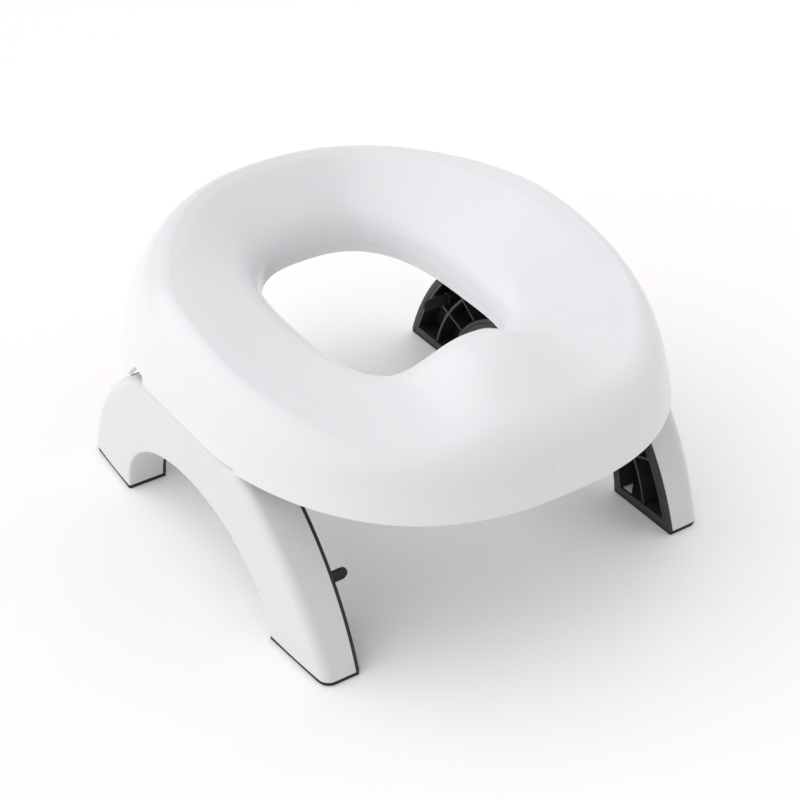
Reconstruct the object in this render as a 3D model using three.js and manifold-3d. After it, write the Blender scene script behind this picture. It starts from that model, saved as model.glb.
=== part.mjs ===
// Folding travel potty chair: a moulded seat ring with a splash guard on two hinged side legs.
// The legs stand upright at rest, fold in under the seat, and fold out flat as side wings.
// Units are millimetres, +Z is up, the front of the seat faces -Y, and the floor is z = 0.
import * as THREE from 'three';
import * as BufferGeometryUtils from 'three/addons/utils/BufferGeometryUtils.js';
import Module from 'manifold-3d';

const wasm = await Module();
wasm.setup();

// ---- Driving dimensions: seat ----
const seatHalfWidth = 131;
const seatFrontLength = 175;       // from the widest line to the front end
const seatRearLength = 122;        // from the widest line to the rear end
const seatWidestY = (seatFrontLength - seatRearLength) / 2;
const frontRoundness = 2.48;       // superellipse exponents of the plan outline
const rearRoundness = 2.14;
const seatWall = 3;
const holeHalfWidth = 50;
const holeWidestY = 12;
const holeFrontLength = 62.5;      // from the hole's widest line to its front end
const holeRearLength = 79;
const holeFrontRoundness = 3.8;
const holeRearRoundness = 2.7;
const holeRimHeight = 21;           // heights of the seat are above the skirt's lower edge
const rimRollHeight = 8;
const rimRollReach = 4;
const collarBottomHeight = 12;
const collarDraft = 1;
// Heights of the crest line, and its place between hole and outline, by angle from the front.
const crestHeights = [[0, 30], [28, 30.5], [52, 41], [85, 52.5], [125, 56.5], [180, 58]];
const crestPlaces = [[0, 0.72], [28, 0.75], [60, 0.8], [90, 0.75], [112, 0.67], [135, 0.63], [180, 0.66]];
const guardRise = 20;              // the splash guard's height above the dish
const guardHalfWidth = 28;
const guardPeakDistance = 25;      // from the hole's front end to the guard's peak
const guardRampLength = 9;
const guardFadeLength = 78;
const guardBaseHeight = 22;        // the guard's rise fades out over this height of the skirt
const shoulderLean = 0.35;         // share of the shoulder inset that is straight draft

// ---- Driving dimensions: legs ----
const legCentreY = 7;
const footHalfLength = 123.3;
const legTopHalfLength = 56;       // where the side arc ends, above the hinge
const legTopRise = 4;
const legSideBulge = 10.3;         // how far the side arc bulges from its chord
const legEdgeRadius = 6;
const legInnerDepth = 18.8;        // the inner face is this far inboard of the hinge axis
const legFootLean = 4.2;           // and the outer face's foot this far outboard of it
const archHalfWidth = 75;
const archHeight = 54;
const archRoundness = 2;
const hingeInset = 13.5;           // from the seat's widest line to the hinge axis
const hingeZ = 82;
const barrelRadius = 7;
const legInnerTopDrop = 1.8;       // the inner face ends this far below the hinge axis
const legWall = 3;
const footPadThickness = 2;

// ---- Driving dimensions: liner ----
const linerLip = 1.6;
const linerWall = 2;
const trayDepth = 12.3;
const linerRib = 1.6;
const linerRibDrop = 1.4;          // how far the rib edges sit below the lip
const midRibOffset = 18;

// ---- Driving dimensions: hinge, latch and fasteners ----
const pinRadius = 2.5;
const pinHalfLength = 46;
const eyeRadius = 4.6;
const armWidth = 8;
const armOffset = 27;              // each hinge arm's distance from the leg's centre
const armHalfHeight = 3;
const riserNear = 11.5;            // the riser's near and far faces, inboard of the hinge axis
const riserFar = 16.5;
const flangeThickness = 3.5;
const flangeReach = 43.5;          // distances inboard of the hinge axis
const flangeHalfLength = 33;
const riserThickness = 6;          // the upright between the flange and the web strip
const webReach = 8;                // the web strip's outer face, outboard of the hinge axis
const webSetBack = 2.4;            // and at least this far inside the seat's outline
const webFrontY = -43.5;
const webRearY = 46;
const notchFrontY = -45;
const notchRearY = 60;
const notchHeight = 11.5;
const notchRearSlope = 11;
const latchNoseThickness = 3.6;
const latchHalfWidth = 7;
const latchArmThickness = 3.4;
const latchPaddleReach = 35;
const latchPaddleThickness = 9;
const latchPaddleHalfWidth = 10;
const latchPaddleBottomZ = 97;
const latchTravel = 5;
const springSolidLength = 5.5;      // with its coils closed
const springRadius = 3.4;
const springWire = 0.5;
const springTurns = 4;
const springReach = 21.5;
const springSeatRim = 2;
const bracketScrewReach = 36.5;
const bracketScrewOffset = 22;
const bracketScrewRadius = 1.9;
const bracketHeadRadius = 3.5;
const bracketHeadHeight = 2.5;
const bracketScrewLength = 14;
const bossRadius = 4.6;
const linerScrewRadius = 1.4;
const linerHeadRadius = 2.8;
const linerHeadHeight = 1.8;
const linerScrewLength = 7;
const linerBossRadius = 3.4;
const linerScrewPlaces = [[101, 17], [44, 66]];   // offset along the leg, height
const tabThickness = 2;
const tabOffset = 91.5;
const tabLowZ = 33;
const tabHighZ = 43;
const tabStandOut = 13.2;          // the tab's tip and root, from the leg's inner face
const tabRootDepth = 3.3;
const tabPostHalfWidth = 2.5;

// ---- Clearances ----
const gap = 0.3;                   // between separate pieces
const swingGap = 0.5;              // between a turning piece and a fixed one
const skirtGap = 1;                // between the hinge barrel and what stands above it

// ---- Places that follow from the sizes ----
const hingeX = seatHalfWidth - hingeInset;
const skirtBottomZ = hingeZ + barrelRadius + skirtGap;
const collarBottomZ = skirtBottomZ + collarBottomHeight;
const holeRimZ = skirtBottomZ + holeRimHeight;
const seatTopZ = skirtBottomZ + Math.max(...crestHeights.map(knot => knot[1]));
const notchTopZ = skirtBottomZ + notchHeight;
const legInnerX = hingeX - legInnerDepth;
const legOuterBottomX = hingeX + legFootLean;
const legInnerTopZ = hingeZ - legInnerTopDrop;
const legTopZ = hingeZ + legTopRise;
const latchPaddleX = hingeX - latchPaddleReach;
const bracketScrewX = hingeX - bracketScrewReach;
const springX = hingeX - springReach;
const flangeInnerX = hingeX - flangeReach;
const tabTipX = legInnerX - tabStandOut;
const tabRootX = legInnerX + tabRootDepth;

// ---- Solids ----
function solidOf(geometry) {
  const bare = geometry.index ? geometry.toNonIndexed() : geometry.clone();
  bare.deleteAttribute('normal');
  bare.deleteAttribute('uv');
  const merged = BufferGeometryUtils.mergeVertices(bare, 1e-4);
  return new wasm.Manifold(new wasm.Mesh({
    numProp: 3,
    vertProperties: new Float32Array(merged.attributes.position.array),
    triVerts: new Uint32Array(merged.index.array),
  }));
}

function geometryOf(solid) {
  const mesh = solid.getMesh();
  const geometry = new THREE.BufferGeometry();
  geometry.setAttribute('position', new THREE.BufferAttribute(new Float32Array(mesh.vertProperties), 3));
  geometry.setIndex(Array.from(mesh.triVerts));
  return geometry;
}

function box(xs, ys, zs) {
  const geometry = new THREE.BoxGeometry(xs[1] - xs[0], ys[1] - ys[0], zs[1] - zs[0]);
  geometry.translate((xs[0] + xs[1]) / 2, (ys[0] + ys[1]) / 2, (zs[0] + zs[1]) / 2);
  return solidOf(geometry);
}

// A round bar along X, Y or Z between two ends, centred on the other two coordinates.
function bar(axis, radius, ends, centre, sides = 24) {
  const geometry = new THREE.CylinderGeometry(radius, radius, ends[1] - ends[0], sides);
  const middle = (ends[0] + ends[1]) / 2;
  if (axis === 'x') geometry.rotateZ(Math.PI / 2).translate(middle, centre[0], centre[1]);
  if (axis === 'y') geometry.translate(centre[0], middle, centre[1]);
  if (axis === 'z') geometry.rotateX(Math.PI / 2).translate(centre[0], centre[1], middle);
  return solidOf(geometry);
}

// A (y, z) outline run along X.
function prismX(points, xs, bevel = 0) {
  const geometry = new THREE.ExtrudeGeometry(new THREE.Shape(points), {
    depth: xs[1] - xs[0] - 2 * bevel,
    bevelEnabled: bevel > 0,
    bevelThickness: bevel,
    bevelSize: bevel,
    bevelOffset: -bevel,
    bevelSegments: 3,
  });
  const turn = new THREE.Matrix4().makeBasis(
    new THREE.Vector3(0, 1, 0), new THREE.Vector3(0, 0, 1), new THREE.Vector3(1, 0, 0));
  geometry.applyMatrix4(turn).translate(xs[0] + bevel, 0, 0);
  return solidOf(geometry);
}

// An (x, z) outline run along Y.
function prismY(points, ys) {
  const run = { depth: ys[1] - ys[0], bevelEnabled: false };
  const geometry = new THREE.ExtrudeGeometry(new THREE.Shape(points), run);
  geometry.rotateX(Math.PI / 2).translate(0, ys[1], 0);
  return solidOf(geometry);
}

// An (x, y) outline run along Z.
function prismZ(points, zs) {
  const run = { depth: zs[1] - zs[0], bevelEnabled: false };
  return solidOf(new THREE.ExtrudeGeometry(new THREE.Shape(points), run).translate(0, 0, zs[0]));
}

const point = (a, b) => new THREE.Vector2(a, b);
const about = (centre, half) => [centre - half, centre + half];
const signedPower = (value, power) => Math.sign(value) * Math.abs(value) ** power;

// Smooth value between knots of [degrees, value], with level ends at each knot.
function between(knots, degrees) {
  let i = 0;
  while (i < knots.length - 2 && degrees > knots[i + 1][0]) i += 1;
  const share = (degrees - knots[i][0]) / (knots[i + 1][0] - knots[i][0]);
  const eased = (1 - Math.cos(Math.PI * THREE.MathUtils.clamp(share, 0, 1))) / 2;
  return THREE.MathUtils.lerp(knots[i][1], knots[i + 1][1], eased);
}

// ---- Seat shell ----
const seatSteps = 60;

function outlinePoint(angle) {
  const front = Math.sin(angle) < 0;
  const power = 2 / (front ? frontRoundness : rearRoundness);
  const length = front ? seatFrontLength : seatRearLength;
  return point(seatHalfWidth * signedPower(Math.cos(angle), power),
    seatWidestY + length * signedPower(Math.sin(angle), power));
}

// Half the seat's width at one distance along it.
function outlineHalfWidth(y) {
  const front = y < seatWidestY;
  const share = Math.abs(y - seatWidestY) / (front ? seatFrontLength : seatRearLength);
  const power = front ? frontRoundness : rearRoundness;
  return seatHalfWidth * (1 - share ** power) ** (1 / power);
}

function holePoint(angle) {
  const front = Math.sin(angle) < 0;
  const power = 2 / (front ? holeFrontRoundness : holeRearRoundness);
  const length = front ? holeFrontLength : holeRearLength;
  return point(holeHalfWidth * signedPower(Math.cos(angle), power),
    holeWidestY + length * signedPower(Math.sin(angle), power));
}

// The splash guard's rise at a plan point: a bell across the seat, a ramp behind and a fade ahead.
function guardAt(plan) {
  const ahead = Math.max(holeWidestY - holeFrontLength - plan.y, 0);
  const past = Math.max(ahead - guardPeakDistance, 0);
  const ramp = 1 - Math.exp(-((ahead / guardRampLength) ** 1.7));
  const fade = (1 + Math.cos(Math.PI * Math.min(past / guardFadeLength, 1))) / 2;
  return guardRise * ramp * fade * Math.exp(-(Math.abs(plan.x / guardHalfWidth) ** 2.2));
}

// The seat's section at one angle as [distance out from the hole's rim, height] points, from the
// collar's lower edge over the crest to the skirt's lower edge.
function seatSection(angle) {
  const turned = THREE.MathUtils.euclideanModulo(THREE.MathUtils.radToDeg(angle) + 270, 360);
  const fromFront = Math.abs(turned - 180);
  const reach = holePoint(angle).distanceTo(outlinePoint(angle));
  const crestZ = skirtBottomZ + between(crestHeights, fromFront);
  const crestAt = between(crestPlaces, fromFront) * reach;
  const section = [[-collarDraft, collarBottomZ], [-collarDraft / 3, holeRimZ - 3], [0, holeRimZ]];
  for (const share of [0.03, 0.1, 0.22, 0.38, 0.56, 0.76, 0.92, 1]) {
    const out = share * crestAt;
    const roll = rimRollHeight * (1 - Math.exp(-out / rimRollReach));
    const rounding = 0.045 * Math.exp(-(((1 - share) / 0.09) ** 2));
    const rise = (crestZ - holeRimZ - rimRollHeight) * (share - rounding);
    section.push([out, holeRimZ + roll + rise]);
  }
  for (const level of [0.97, 0.9, 0.78, 0.6, 0.34, 0]) {
    const inset = shoulderLean * level + (1 - shoulderLean) * (1 - Math.sqrt(1 - level ** 4));
    section.push([reach - (reach - crestAt) * inset, skirtBottomZ + (crestZ - skirtBottomZ) * level]);
  }
  for (const spot of section) {
    const plan = holePoint(angle).lerp(outlinePoint(angle), spot[0] / reach);
    spot[1] += guardAt(plan) * THREE.MathUtils.clamp((spot[1] - skirtBottomZ) / guardBaseHeight, 0, 1);
  }
  return section;
}

// The same section moved inward by a depth.
function movedIn(section, depth) {
  return section.map(([out, height], i) => {
    const before = section[Math.max(i - 1, 0)];
    const after = section[Math.min(i + 1, section.length - 1)];
    const along = point(after[0] - before[0], after[1] - before[1]).normalize();
    const end = i === 0 || i === section.length - 1;
    const across = end ? point(Math.sign(along.y), 0) : point(along.y, -along.x);
    return [out + across.x * depth, height + across.y * depth];
  });
}

// A closed ring: loopAt gives every angle's section as a closed loop of the same number of points.
function seatRing(loopAt) {
  const positions = [];
  const faces = [];
  const loopLength = loopAt(0).length;
  for (let step = 0; step < seatSteps; step += 1) {
    const angle = (step / seatSteps) * 2 * Math.PI;
    const hole = holePoint(angle);
    const reach = hole.distanceTo(outlinePoint(angle));
    for (const [out, height] of loopAt(angle)) {
      const plan = hole.clone().lerp(outlinePoint(angle), out / reach);
      positions.push(plan.x, plan.y, height);
    }
    const next = (step + 1) % seatSteps;
    for (let i = 0; i < loopLength; i += 1) {
      const j = (i + 1) % loopLength;
      const [a, b] = [step * loopLength + i, next * loopLength + i];
      const [c, d] = [next * loopLength + j, step * loopLength + j];
      faces.push(a, c, b, a, d, c);
    }
  }
  const geometry = new THREE.BufferGeometry();
  geometry.setAttribute('position', new THREE.BufferAttribute(new Float32Array(positions), 3));
  geometry.setIndex(faces);
  return solidOf(geometry);
}

const flangeBottomZ = hingeZ + (hingeX - legInnerX) + swingGap;
const flangeTopZ = flangeBottomZ + flangeThickness;
const latchArmZ = [flangeTopZ + gap, flangeTopZ + gap + latchArmThickness];
const springZ = [latchArmZ[1] + gap, latchArmZ[1] + gap + springSolidLength + latchTravel];
const bracketScrewYs = [legCentreY - bracketScrewOffset, legCentreY + bracketScrewOffset];
const sides = [['left', -1], ['right', 1]];

// The shell with its screw and spring bosses, which end inside the wall of the seat.
function seatShell() {
  let shell = seatRing(angle => {
    const section = seatSection(angle);
    return [...section, ...movedIn(section, seatWall).reverse()];
  });
  const underSurface = seatRing(angle => movedIn(seatSection(angle), seatWall / 2));
  const notch = prismX([point(notchFrontY, skirtBottomZ - 5), point(notchRearY + 5, skirtBottomZ - 5),
    point(notchRearY, skirtBottomZ), point(notchRearY - notchRearSlope, notchTopZ),
    point(notchFrontY, notchTopZ)], [hingeX - 12, seatHalfWidth + 5]);
  const pilotTop = flangeBottomZ + bracketScrewLength + 1;
  for (const [, side] of sides) {
    for (const y of bracketScrewYs) {
      const centre = [side * bracketScrewX, y];
      const post = bar('z', bossRadius, [flangeTopZ + gap, seatTopZ], centre, 16);
      const pilot = bar('z', bracketScrewRadius + gap, [flangeTopZ - 1, pilotTop], centre, 12);
      shell = shell.add(post.intersect(underSurface)).subtract(pilot);
    }
    const springSeat = bar('z', springRadius + springSeatRim, [springZ[1] + gap, seatTopZ],
      [side * springX, legCentreY], 16);
    shell = shell.add(springSeat.intersect(underSurface));
    shell = shell.subtract(side > 0 ? notch : mirrored(notch));
  }
  return shell;
}

// The mirror image of a solid in the seat's centre plane.
function mirrored(solid) {
  return solidOf(mirroredGeometry(geometryOf(solid)));
}

function mirroredGeometry(geometry) {
  const flipped = geometry.clone();
  const place = flipped.attributes.position;
  for (let i = 0; i < place.count; i += 1) place.setX(i, -place.getX(i));
  const index = flipped.index.array;
  for (let i = 0; i < index.length; i += 3) [index[i], index[i + 1]] = [index[i + 1], index[i]];
  return flipped;
}

// ---- Leg outline, seen along X ----
// The side arc runs from the foot's end to the hinge end of the leg.
const chord = point(footHalfLength - legTopHalfLength, legTopZ);
const legSideRadius = (chord.lengthSq() / 4 + legSideBulge ** 2) / (2 * legSideBulge);
const arcCentreReach = legSideRadius - legSideBulge;
const arcCentre = point(
  (footHalfLength + legTopHalfLength) / 2 - (arcCentreReach * legTopZ) / chord.length(),
  legTopZ / 2 - (arcCentreReach * chord.x) / chord.length());

function sideReach(height, inset) {
  return arcCentre.x + Math.sqrt((legSideRadius - inset) ** 2 - (height - arcCentre.y) ** 2);
}

function sideArc(bottom, top, inset) {
  const points = [];
  for (let i = 0; i <= 11; i += 1) {
    const height = THREE.MathUtils.lerp(bottom, top, i / 11);
    points.push(point(sideReach(height, inset), height));
  }
  return points;
}

function archArc(bottom, inset) {
  const points = [];
  const height = archHeight + inset;
  const start = Math.asin((bottom / height) ** (archRoundness / 2));
  for (let i = 0; i <= 18; i += 1) {
    const angle = THREE.MathUtils.lerp(start, Math.PI - start, i / 18);
    points.push(point((archHalfWidth + inset) * signedPower(Math.cos(angle), 2 / archRoundness),
      height * Math.sin(angle) ** (2 / archRoundness)));
  }
  return points;
}

const placed = points => points.map(p => point(legCentreY + p.x, p.y));

// The leg's outline between two heights, moved inward by an inset, with its arch.
function legOutline(bottom, top, inset) {
  const rear = sideArc(bottom, top, inset);
  const front = rear.map(p => point(-p.x, p.y)).reverse();
  const arch = archArc(bottom, inset).reverse();
  return placed([...rear, ...front, ...arch]);
}

function plainOutline(bottom, top, inset) {
  const rear = sideArc(bottom, top, inset);
  return placed([...rear, ...rear.map(p => point(-p.x, p.y)).reverse()]);
}

// The region under the arch, grown by an inset.
function archPrism(inset, xs) {
  const arch = archArc(1e-3, inset);
  return prismX(placed([point(arch[arch.length - 1].x, -20), point(arch[0].x, -20), ...arch]), xs);
}

const legBottomZ = footPadThickness + gap;
const shellInnerX = legInnerX + linerLip + gap;
const cavityTopZ = hingeZ - barrelRadius - 1;
const barrelOuterX = hingeX + barrelRadius;
const overallYs = [-200, 200];
const blankZs = [-12, hingeZ + barrelRadius + 6];   // past the leg's own bottom and top

// The outer face leans out from the foot to the hinge barrel.
function skinX(height) {
  const share = (height - legBottomZ) / (hingeZ - legBottomZ);
  return THREE.MathUtils.lerp(legOuterBottomX, barrelOuterX, share);
}

function barrelArc(radius, from, to) {
  const points = [];
  for (let i = 0; i <= 12; i += 1) {
    const angle = THREE.MathUtils.degToRad(THREE.MathUtils.lerp(from, to, i / 12));
    points.push(point(hingeX + radius * Math.cos(angle), hingeZ + radius * Math.sin(angle)));
  }
  return points;
}

// What a hinge arm sweeps inside the leg, for one arm at a given offset along the leg.
function armSlot(offset) {
  const ys = about(legCentreY + offset, armWidth / 2 + swingGap);
  const sweep = Math.hypot(riserFar, armHalfHeight) + swingGap;
  return box([legInnerX - 5, hingeX + armHalfHeight + swingGap], ys, [hingeZ - sweep, hingeZ + 20])
    .add(bar('y', eyeRadius + gap + 0.1, ys, [hingeX, hingeZ]));
}

const armOffsets = [-armOffset, armOffset];
const riserXs = [hingeX - 1.5, hingeX - 1.5 + riserThickness];
const latchNoseX = [riserXs[0] - latchNoseThickness - 0.8, riserXs[0] - 0.8];

// The recess that the latch nose drops into when the leg is folded in.
function latchRecess() {
  const depth = hingeX - latchNoseX[0] + swingGap;
  const reach = barrelRadius + gap;
  return box([legInnerX - 5, hingeX - reach], about(legCentreY, latchHalfWidth + swingGap),
    [hingeZ - depth, hingeZ + 10]);
}

function legShell() {
  const section = [point(shellInnerX, legBottomZ), point(legOuterBottomX, legBottomZ),
    ...barrelArc(barrelRadius, 0, 180), point(hingeX - barrelRadius, legInnerTopZ),
    point(shellInnerX, legInnerTopZ)];
  const cavity = [point(legInnerX - 10, legBottomZ + legWall),
    point(legOuterBottomX - legWall, legBottomZ + legWall),
    point(barrelOuterX - legWall, cavityTopZ), point(legInnerX - 10, cavityTopZ)];
  const blankXs = [legInnerX - 10, barrelOuterX];
  const blank = prismX(plainOutline(blankZs[0], blankZs[1], 0), blankXs, legEdgeRadius);
  let shell = blank.intersect(prismY(section, overallYs)).subtract(archPrism(0, [legInnerX - 20, 140]));
  const hollow = prismX(plainOutline(blankZs[0], blankZs[1], legWall), blankXs)
    .intersect(prismY(cavity, overallYs)).subtract(archPrism(legWall, [legInnerX - 20, 140]));
  shell = shell.subtract(hollow);
  for (const [offset, height] of linerScrewPlaces) {
    for (const end of [-1, 1]) {
      const bossXs = [legInnerX + trayDepth + gap + linerWall, skinX(height) - legWall / 2];
      const pilotXs = [bossXs[0] - 1, bossXs[1] - 0.5];
      const centre = [legCentreY + end * offset, height];
      shell = shell.add(bar('x', linerBossRadius, bossXs, centre, 12));
      shell = shell.subtract(bar('x', linerScrewRadius + gap, pilotXs, centre, 8));
    }
  }
  for (const offset of armOffsets) shell = shell.subtract(armSlot(offset));
  shell = shell.subtract(latchRecess());
  return shell.subtract(bar('y', pinRadius + gap, [legCentreY - pinHalfLength - gap, 120], [hingeX, hingeZ]));
}

const trayFloorX = [legInnerX + trayDepth, legInnerX + trayDepth + linerWall];

function legLiner() {
  const outline = legOutline(legBottomZ, legInnerTopZ, 0);
  const trayInset = legWall + gap;
  const openInset = trayInset + linerWall;
  const trayBottom = legBottomZ + trayInset;
  const trayTop = cavityTopZ - gap;
  const lip = prismX(outline, [legInnerX, legInnerX + linerLip]);
  const body = prismX(legOutline(trayBottom, trayTop, trayInset), [legInnerX, trayFloorX[1]]);
  const open = prismX(legOutline(trayBottom + linerWall, trayTop - linerWall, openInset),
    [legInnerX - 10, trayFloorX[0]]);
  const ribXs = [legInnerX + linerRibDrop, trayFloorX[0] + 1];
  const midRib = archPrism(midRibOffset + linerRib / 2, ribXs)
    .subtract(archPrism(midRibOffset - linerRib / 2, [ribXs[0] - 5, ribXs[1] + 5]));
  const ribSpace = prismX(legOutline(trayBottom + 1, trayTop - 1, trayInset + 1), [ribXs[0], ribXs[1]]);
  let ribs = midRib;
  for (const end of [-1, 1]) {
    for (const [offset, height, slope, length] of [[66, 14, 24, 60], [46, 38, 45, 50], [20, 50, 76, 40]]) {
      const rib = new THREE.BoxGeometry(ribXs[1] - ribXs[0], length, linerRib);
      rib.translate((ribXs[0] + ribXs[1]) / 2, length / 2, 0);
      rib.rotateX(THREE.MathUtils.degToRad(end > 0 ? slope : 180 - slope));
      rib.translate(0, legCentreY + end * offset, height);
      ribs = ribs.add(solidOf(rib));
    }
  }
  let liner = lip.add(body).subtract(open).add(ribs.intersect(ribSpace));
  for (const [offset, height] of linerScrewPlaces) {
    for (const end of [-1, 1]) {
      const centre = [legCentreY + end * offset, height];
      liner = liner.subtract(bar('x', linerHeadRadius + gap, [legInnerX - 5, trayFloorX[0]], centre, 12));
      liner = liner.subtract(bar('x', linerScrewRadius + gap, [legInnerX, trayFloorX[1] + 5], centre, 8));
    }
  }
  for (const offset of armOffsets) liner = liner.subtract(armSlot(offset));
  for (const end of [-1, 1]) {
    const ys = about(legCentreY + end * tabOffset, tabPostHalfWidth);
    liner = liner.add(box([tabRootX + swingGap, trayFloorX[0] + 0.5], ys, [tabLowZ, tabHighZ]));
  }
  return liner.subtract(latchRecess());
}

// ---- Hinge bracket, fixed under the seat ----
function hingeBracket() {
  const flangeYs = about(legCentreY, flangeHalfLength);
  const strip = [point(riserXs[0], webRearY), point(riserXs[0], webFrontY)];
  for (let i = 0; i <= 16; i += 1) {
    const y = THREE.MathUtils.lerp(webFrontY, webRearY, i / 16);
    strip.push(point(Math.min(hingeX + webReach, outlineHalfWidth(y) - webSetBack), y));
  }
  let bracket = prismZ(strip, [skirtBottomZ, notchTopZ - gap]);
  bracket = bracket.add(box(riserXs, flangeYs, [notchTopZ - 5, flangeTopZ]));
  bracket = bracket.add(box([flangeInnerX, riserXs[1]], flangeYs, [flangeBottomZ, flangeTopZ]));
  for (const offset of armOffsets) {
    const ys = about(legCentreY + offset, armWidth / 2);
    bracket = bracket
      .add(box([hingeX - riserFar, hingeX - riserNear], ys, [hingeZ - armHalfHeight, flangeTopZ - 1]))
      .add(box([hingeX - riserFar, hingeX], ys, about(hingeZ, armHalfHeight)))
      .add(bar('y', eyeRadius, ys, [hingeX, hingeZ]))
      .subtract(bar('y', pinRadius + gap, [ys[0] - 1, ys[1] + 1], [hingeX, hingeZ]));
  }
  for (const y of bracketScrewYs) {
    bracket = bracket.subtract(bar('z', bracketScrewRadius + gap,
      [flangeBottomZ - 1, flangeTopZ + 1], [bracketScrewX, y], 12));
  }
  const paddleYs = about(legCentreY, latchPaddleHalfWidth + gap);
  const paddleXs = about(latchPaddleX, latchPaddleThickness / 2 + gap);
  const noseXs = [latchNoseX[0] - gap, latchNoseX[1] + gap];
  const noseYs = about(legCentreY, latchHalfWidth + gap);
  return bracket
    .subtract(box(paddleXs, paddleYs, [flangeBottomZ - 1, flangeTopZ + 1]))
    .subtract(box(noseXs, noseYs, [flangeBottomZ - 1, flangeTopZ + 1]));
}

// The latch button: a thumb paddle, an arm above the bracket and a nose over the hinge barrel.
function latchButton() {
  const paddleXs = about(latchPaddleX, latchPaddleThickness / 2);
  const paddle = box(paddleXs, about(legCentreY, latchPaddleHalfWidth), [latchPaddleBottomZ, latchArmZ[1]]);
  const arm = box([paddleXs[0], latchNoseX[1]], about(legCentreY, latchHalfWidth + 1.5), latchArmZ);
  const noseZ = [hingeZ + barrelRadius + gap, latchArmZ[1]];
  const nose = box(latchNoseX, about(legCentreY, latchHalfWidth), noseZ);
  return arm.add(paddle).add(nose);
}

class Helix extends THREE.Curve {
  getPoint(t, target = new THREE.Vector3()) {
    const angle = t * springTurns * 2 * Math.PI;
    const height = THREE.MathUtils.lerp(springZ[0] + springWire, springZ[1] - springWire, t);
    const [x, y] = [springRadius * Math.cos(angle), springRadius * Math.sin(angle)];
    return target.set(springX + x, legCentreY + y, height);
  }
}

function latchSpring() {
  const wire = [];
  for (let i = 0; i < 5; i += 1) {
    const angle = (i / 5) * 2 * Math.PI;
    wire.push(point(springWire * Math.cos(angle), springWire * Math.sin(angle)));
  }
  const run = { steps: springTurns * 10, extrudePath: new Helix() };
  return solidOf(new THREE.ExtrudeGeometry(new THREE.Shape(wire), run));
}

function bracketScrew(y) {
  const headZ = [flangeBottomZ - gap - bracketHeadHeight, flangeBottomZ - gap];
  const shaftZ = [headZ[0] + 0.5, headZ[1] + bracketScrewLength];
  return bar('z', bracketHeadRadius, headZ, [bracketScrewX, y], 16)
    .add(bar('z', bracketScrewRadius, shaftZ, [bracketScrewX, y], 12))
    .subtract(bar('z', bracketHeadRadius / 2, [headZ[0] - 1, headZ[0] + 1], [bracketScrewX, y], 6));
}

function linerScrew(offset, height) {
  const centre = [legCentreY + offset, height];
  const headXs = [trayFloorX[0] - gap - linerHeadHeight, trayFloorX[0] - gap];
  return bar('x', linerHeadRadius, headXs, centre, 12)
    .add(bar('x', linerScrewRadius, [headXs[0] + 0.5, headXs[1] + linerScrewLength], centre, 8))
    .subtract(bar('x', linerHeadRadius / 2, [headXs[0] - 1, headXs[0] + 0.8], centre, 6));
}

function hingePin() {
  return bar('y', pinRadius, about(legCentreY, pinHalfLength), [hingeX, hingeZ]);
}

// The rubber sole under one foot, shaped as the foot's plan with a rounded outer corner.
function footPad(end) {
  const plan = plainOutline(blankZs[0], blankZs[1], 0);
  const blank = prismX(plan, [legInnerX - 10, legOuterBottomX], legEdgeRadius)
    .intersect(box([legInnerX, legOuterBottomX], overallYs, [0, footPadThickness]))
    .subtract(archPrism(0, [legInnerX - 20, 140]));
  const ys = end > 0 ? [legCentreY, 200] : [-200, legCentreY];
  return blank.intersect(box([legInnerX - 5, 140], ys, [-1, footPadThickness + 1]));
}

// The springy tab that holds a bag's edge: a flat fin with a rounded tip, rooted on the liner's post.
function bagTab(end) {
  const middle = (tabLowZ + tabHighZ) / 2;
  const round = (tabHighZ - tabLowZ) / 2;
  const ys = about(legCentreY + end * tabOffset, tabThickness / 2);
  return box([tabTipX + round, tabRootX], ys, [tabLowZ, tabHighZ])
    .add(bar('y', round, ys, [tabTipX + round, middle], 20));
}

// ---- Assembly ----
const whitePlastic = { color: 0xf0f0f2, roughness: 0.35, metalness: 0 };
const greyPlastic = { color: 0xdfe1e2, roughness: 0.45, metalness: 0 };
const blackPlastic = { color: 0x1c1c1d, roughness: 0.5, metalness: 0 };
const blackRubber = { color: 0x141414, roughness: 0.8, metalness: 0 };
const steel = { color: 0xb9bcc0, roughness: 0.3, metalness: 1 };

const group = new THREE.Group();

function place(name, solid, look) {
  const mesh = new THREE.Mesh(geometryOf(solid), new THREE.MeshStandardMaterial(look));
  mesh.name = name;
  group.add(mesh);
}

function placeBoth(name, solid, look) {
  place(`left_${name}`, mirrored(solid), look);
  place(`right_${name}`, solid, look);
}

place('seat_shell', seatShell(), whitePlastic);
placeBoth('hinge_bracket', hingeBracket(), greyPlastic);
placeBoth('hinge_pin', hingePin(), steel);
placeBoth('latch_button', latchButton(), blackPlastic);
placeBoth('latch_spring', latchSpring(), steel);
placeBoth('leg_shell', legShell(), greyPlastic);
placeBoth('leg_liner', legLiner(), blackPlastic);
for (const [where, end] of [['front', -1], ['rear', 1]]) {
  placeBoth(`bracket_screw_${where}`, bracketScrew(legCentreY + end * bracketScrewOffset), steel);
  placeBoth(`foot_pad_${where}`, footPad(end), blackRubber);
  placeBoth(`bag_tab_${where}`, bagTab(end), blackRubber);
  for (const [level, [offset, height]] of [['low', linerScrewPlaces[0]], ['high', linerScrewPlaces[1]]]) {
    placeBoth(`liner_screw_${where}_${level}`, linerScrew(end * offset, height), steel);
  }
}

export default group;
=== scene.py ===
import math

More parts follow.
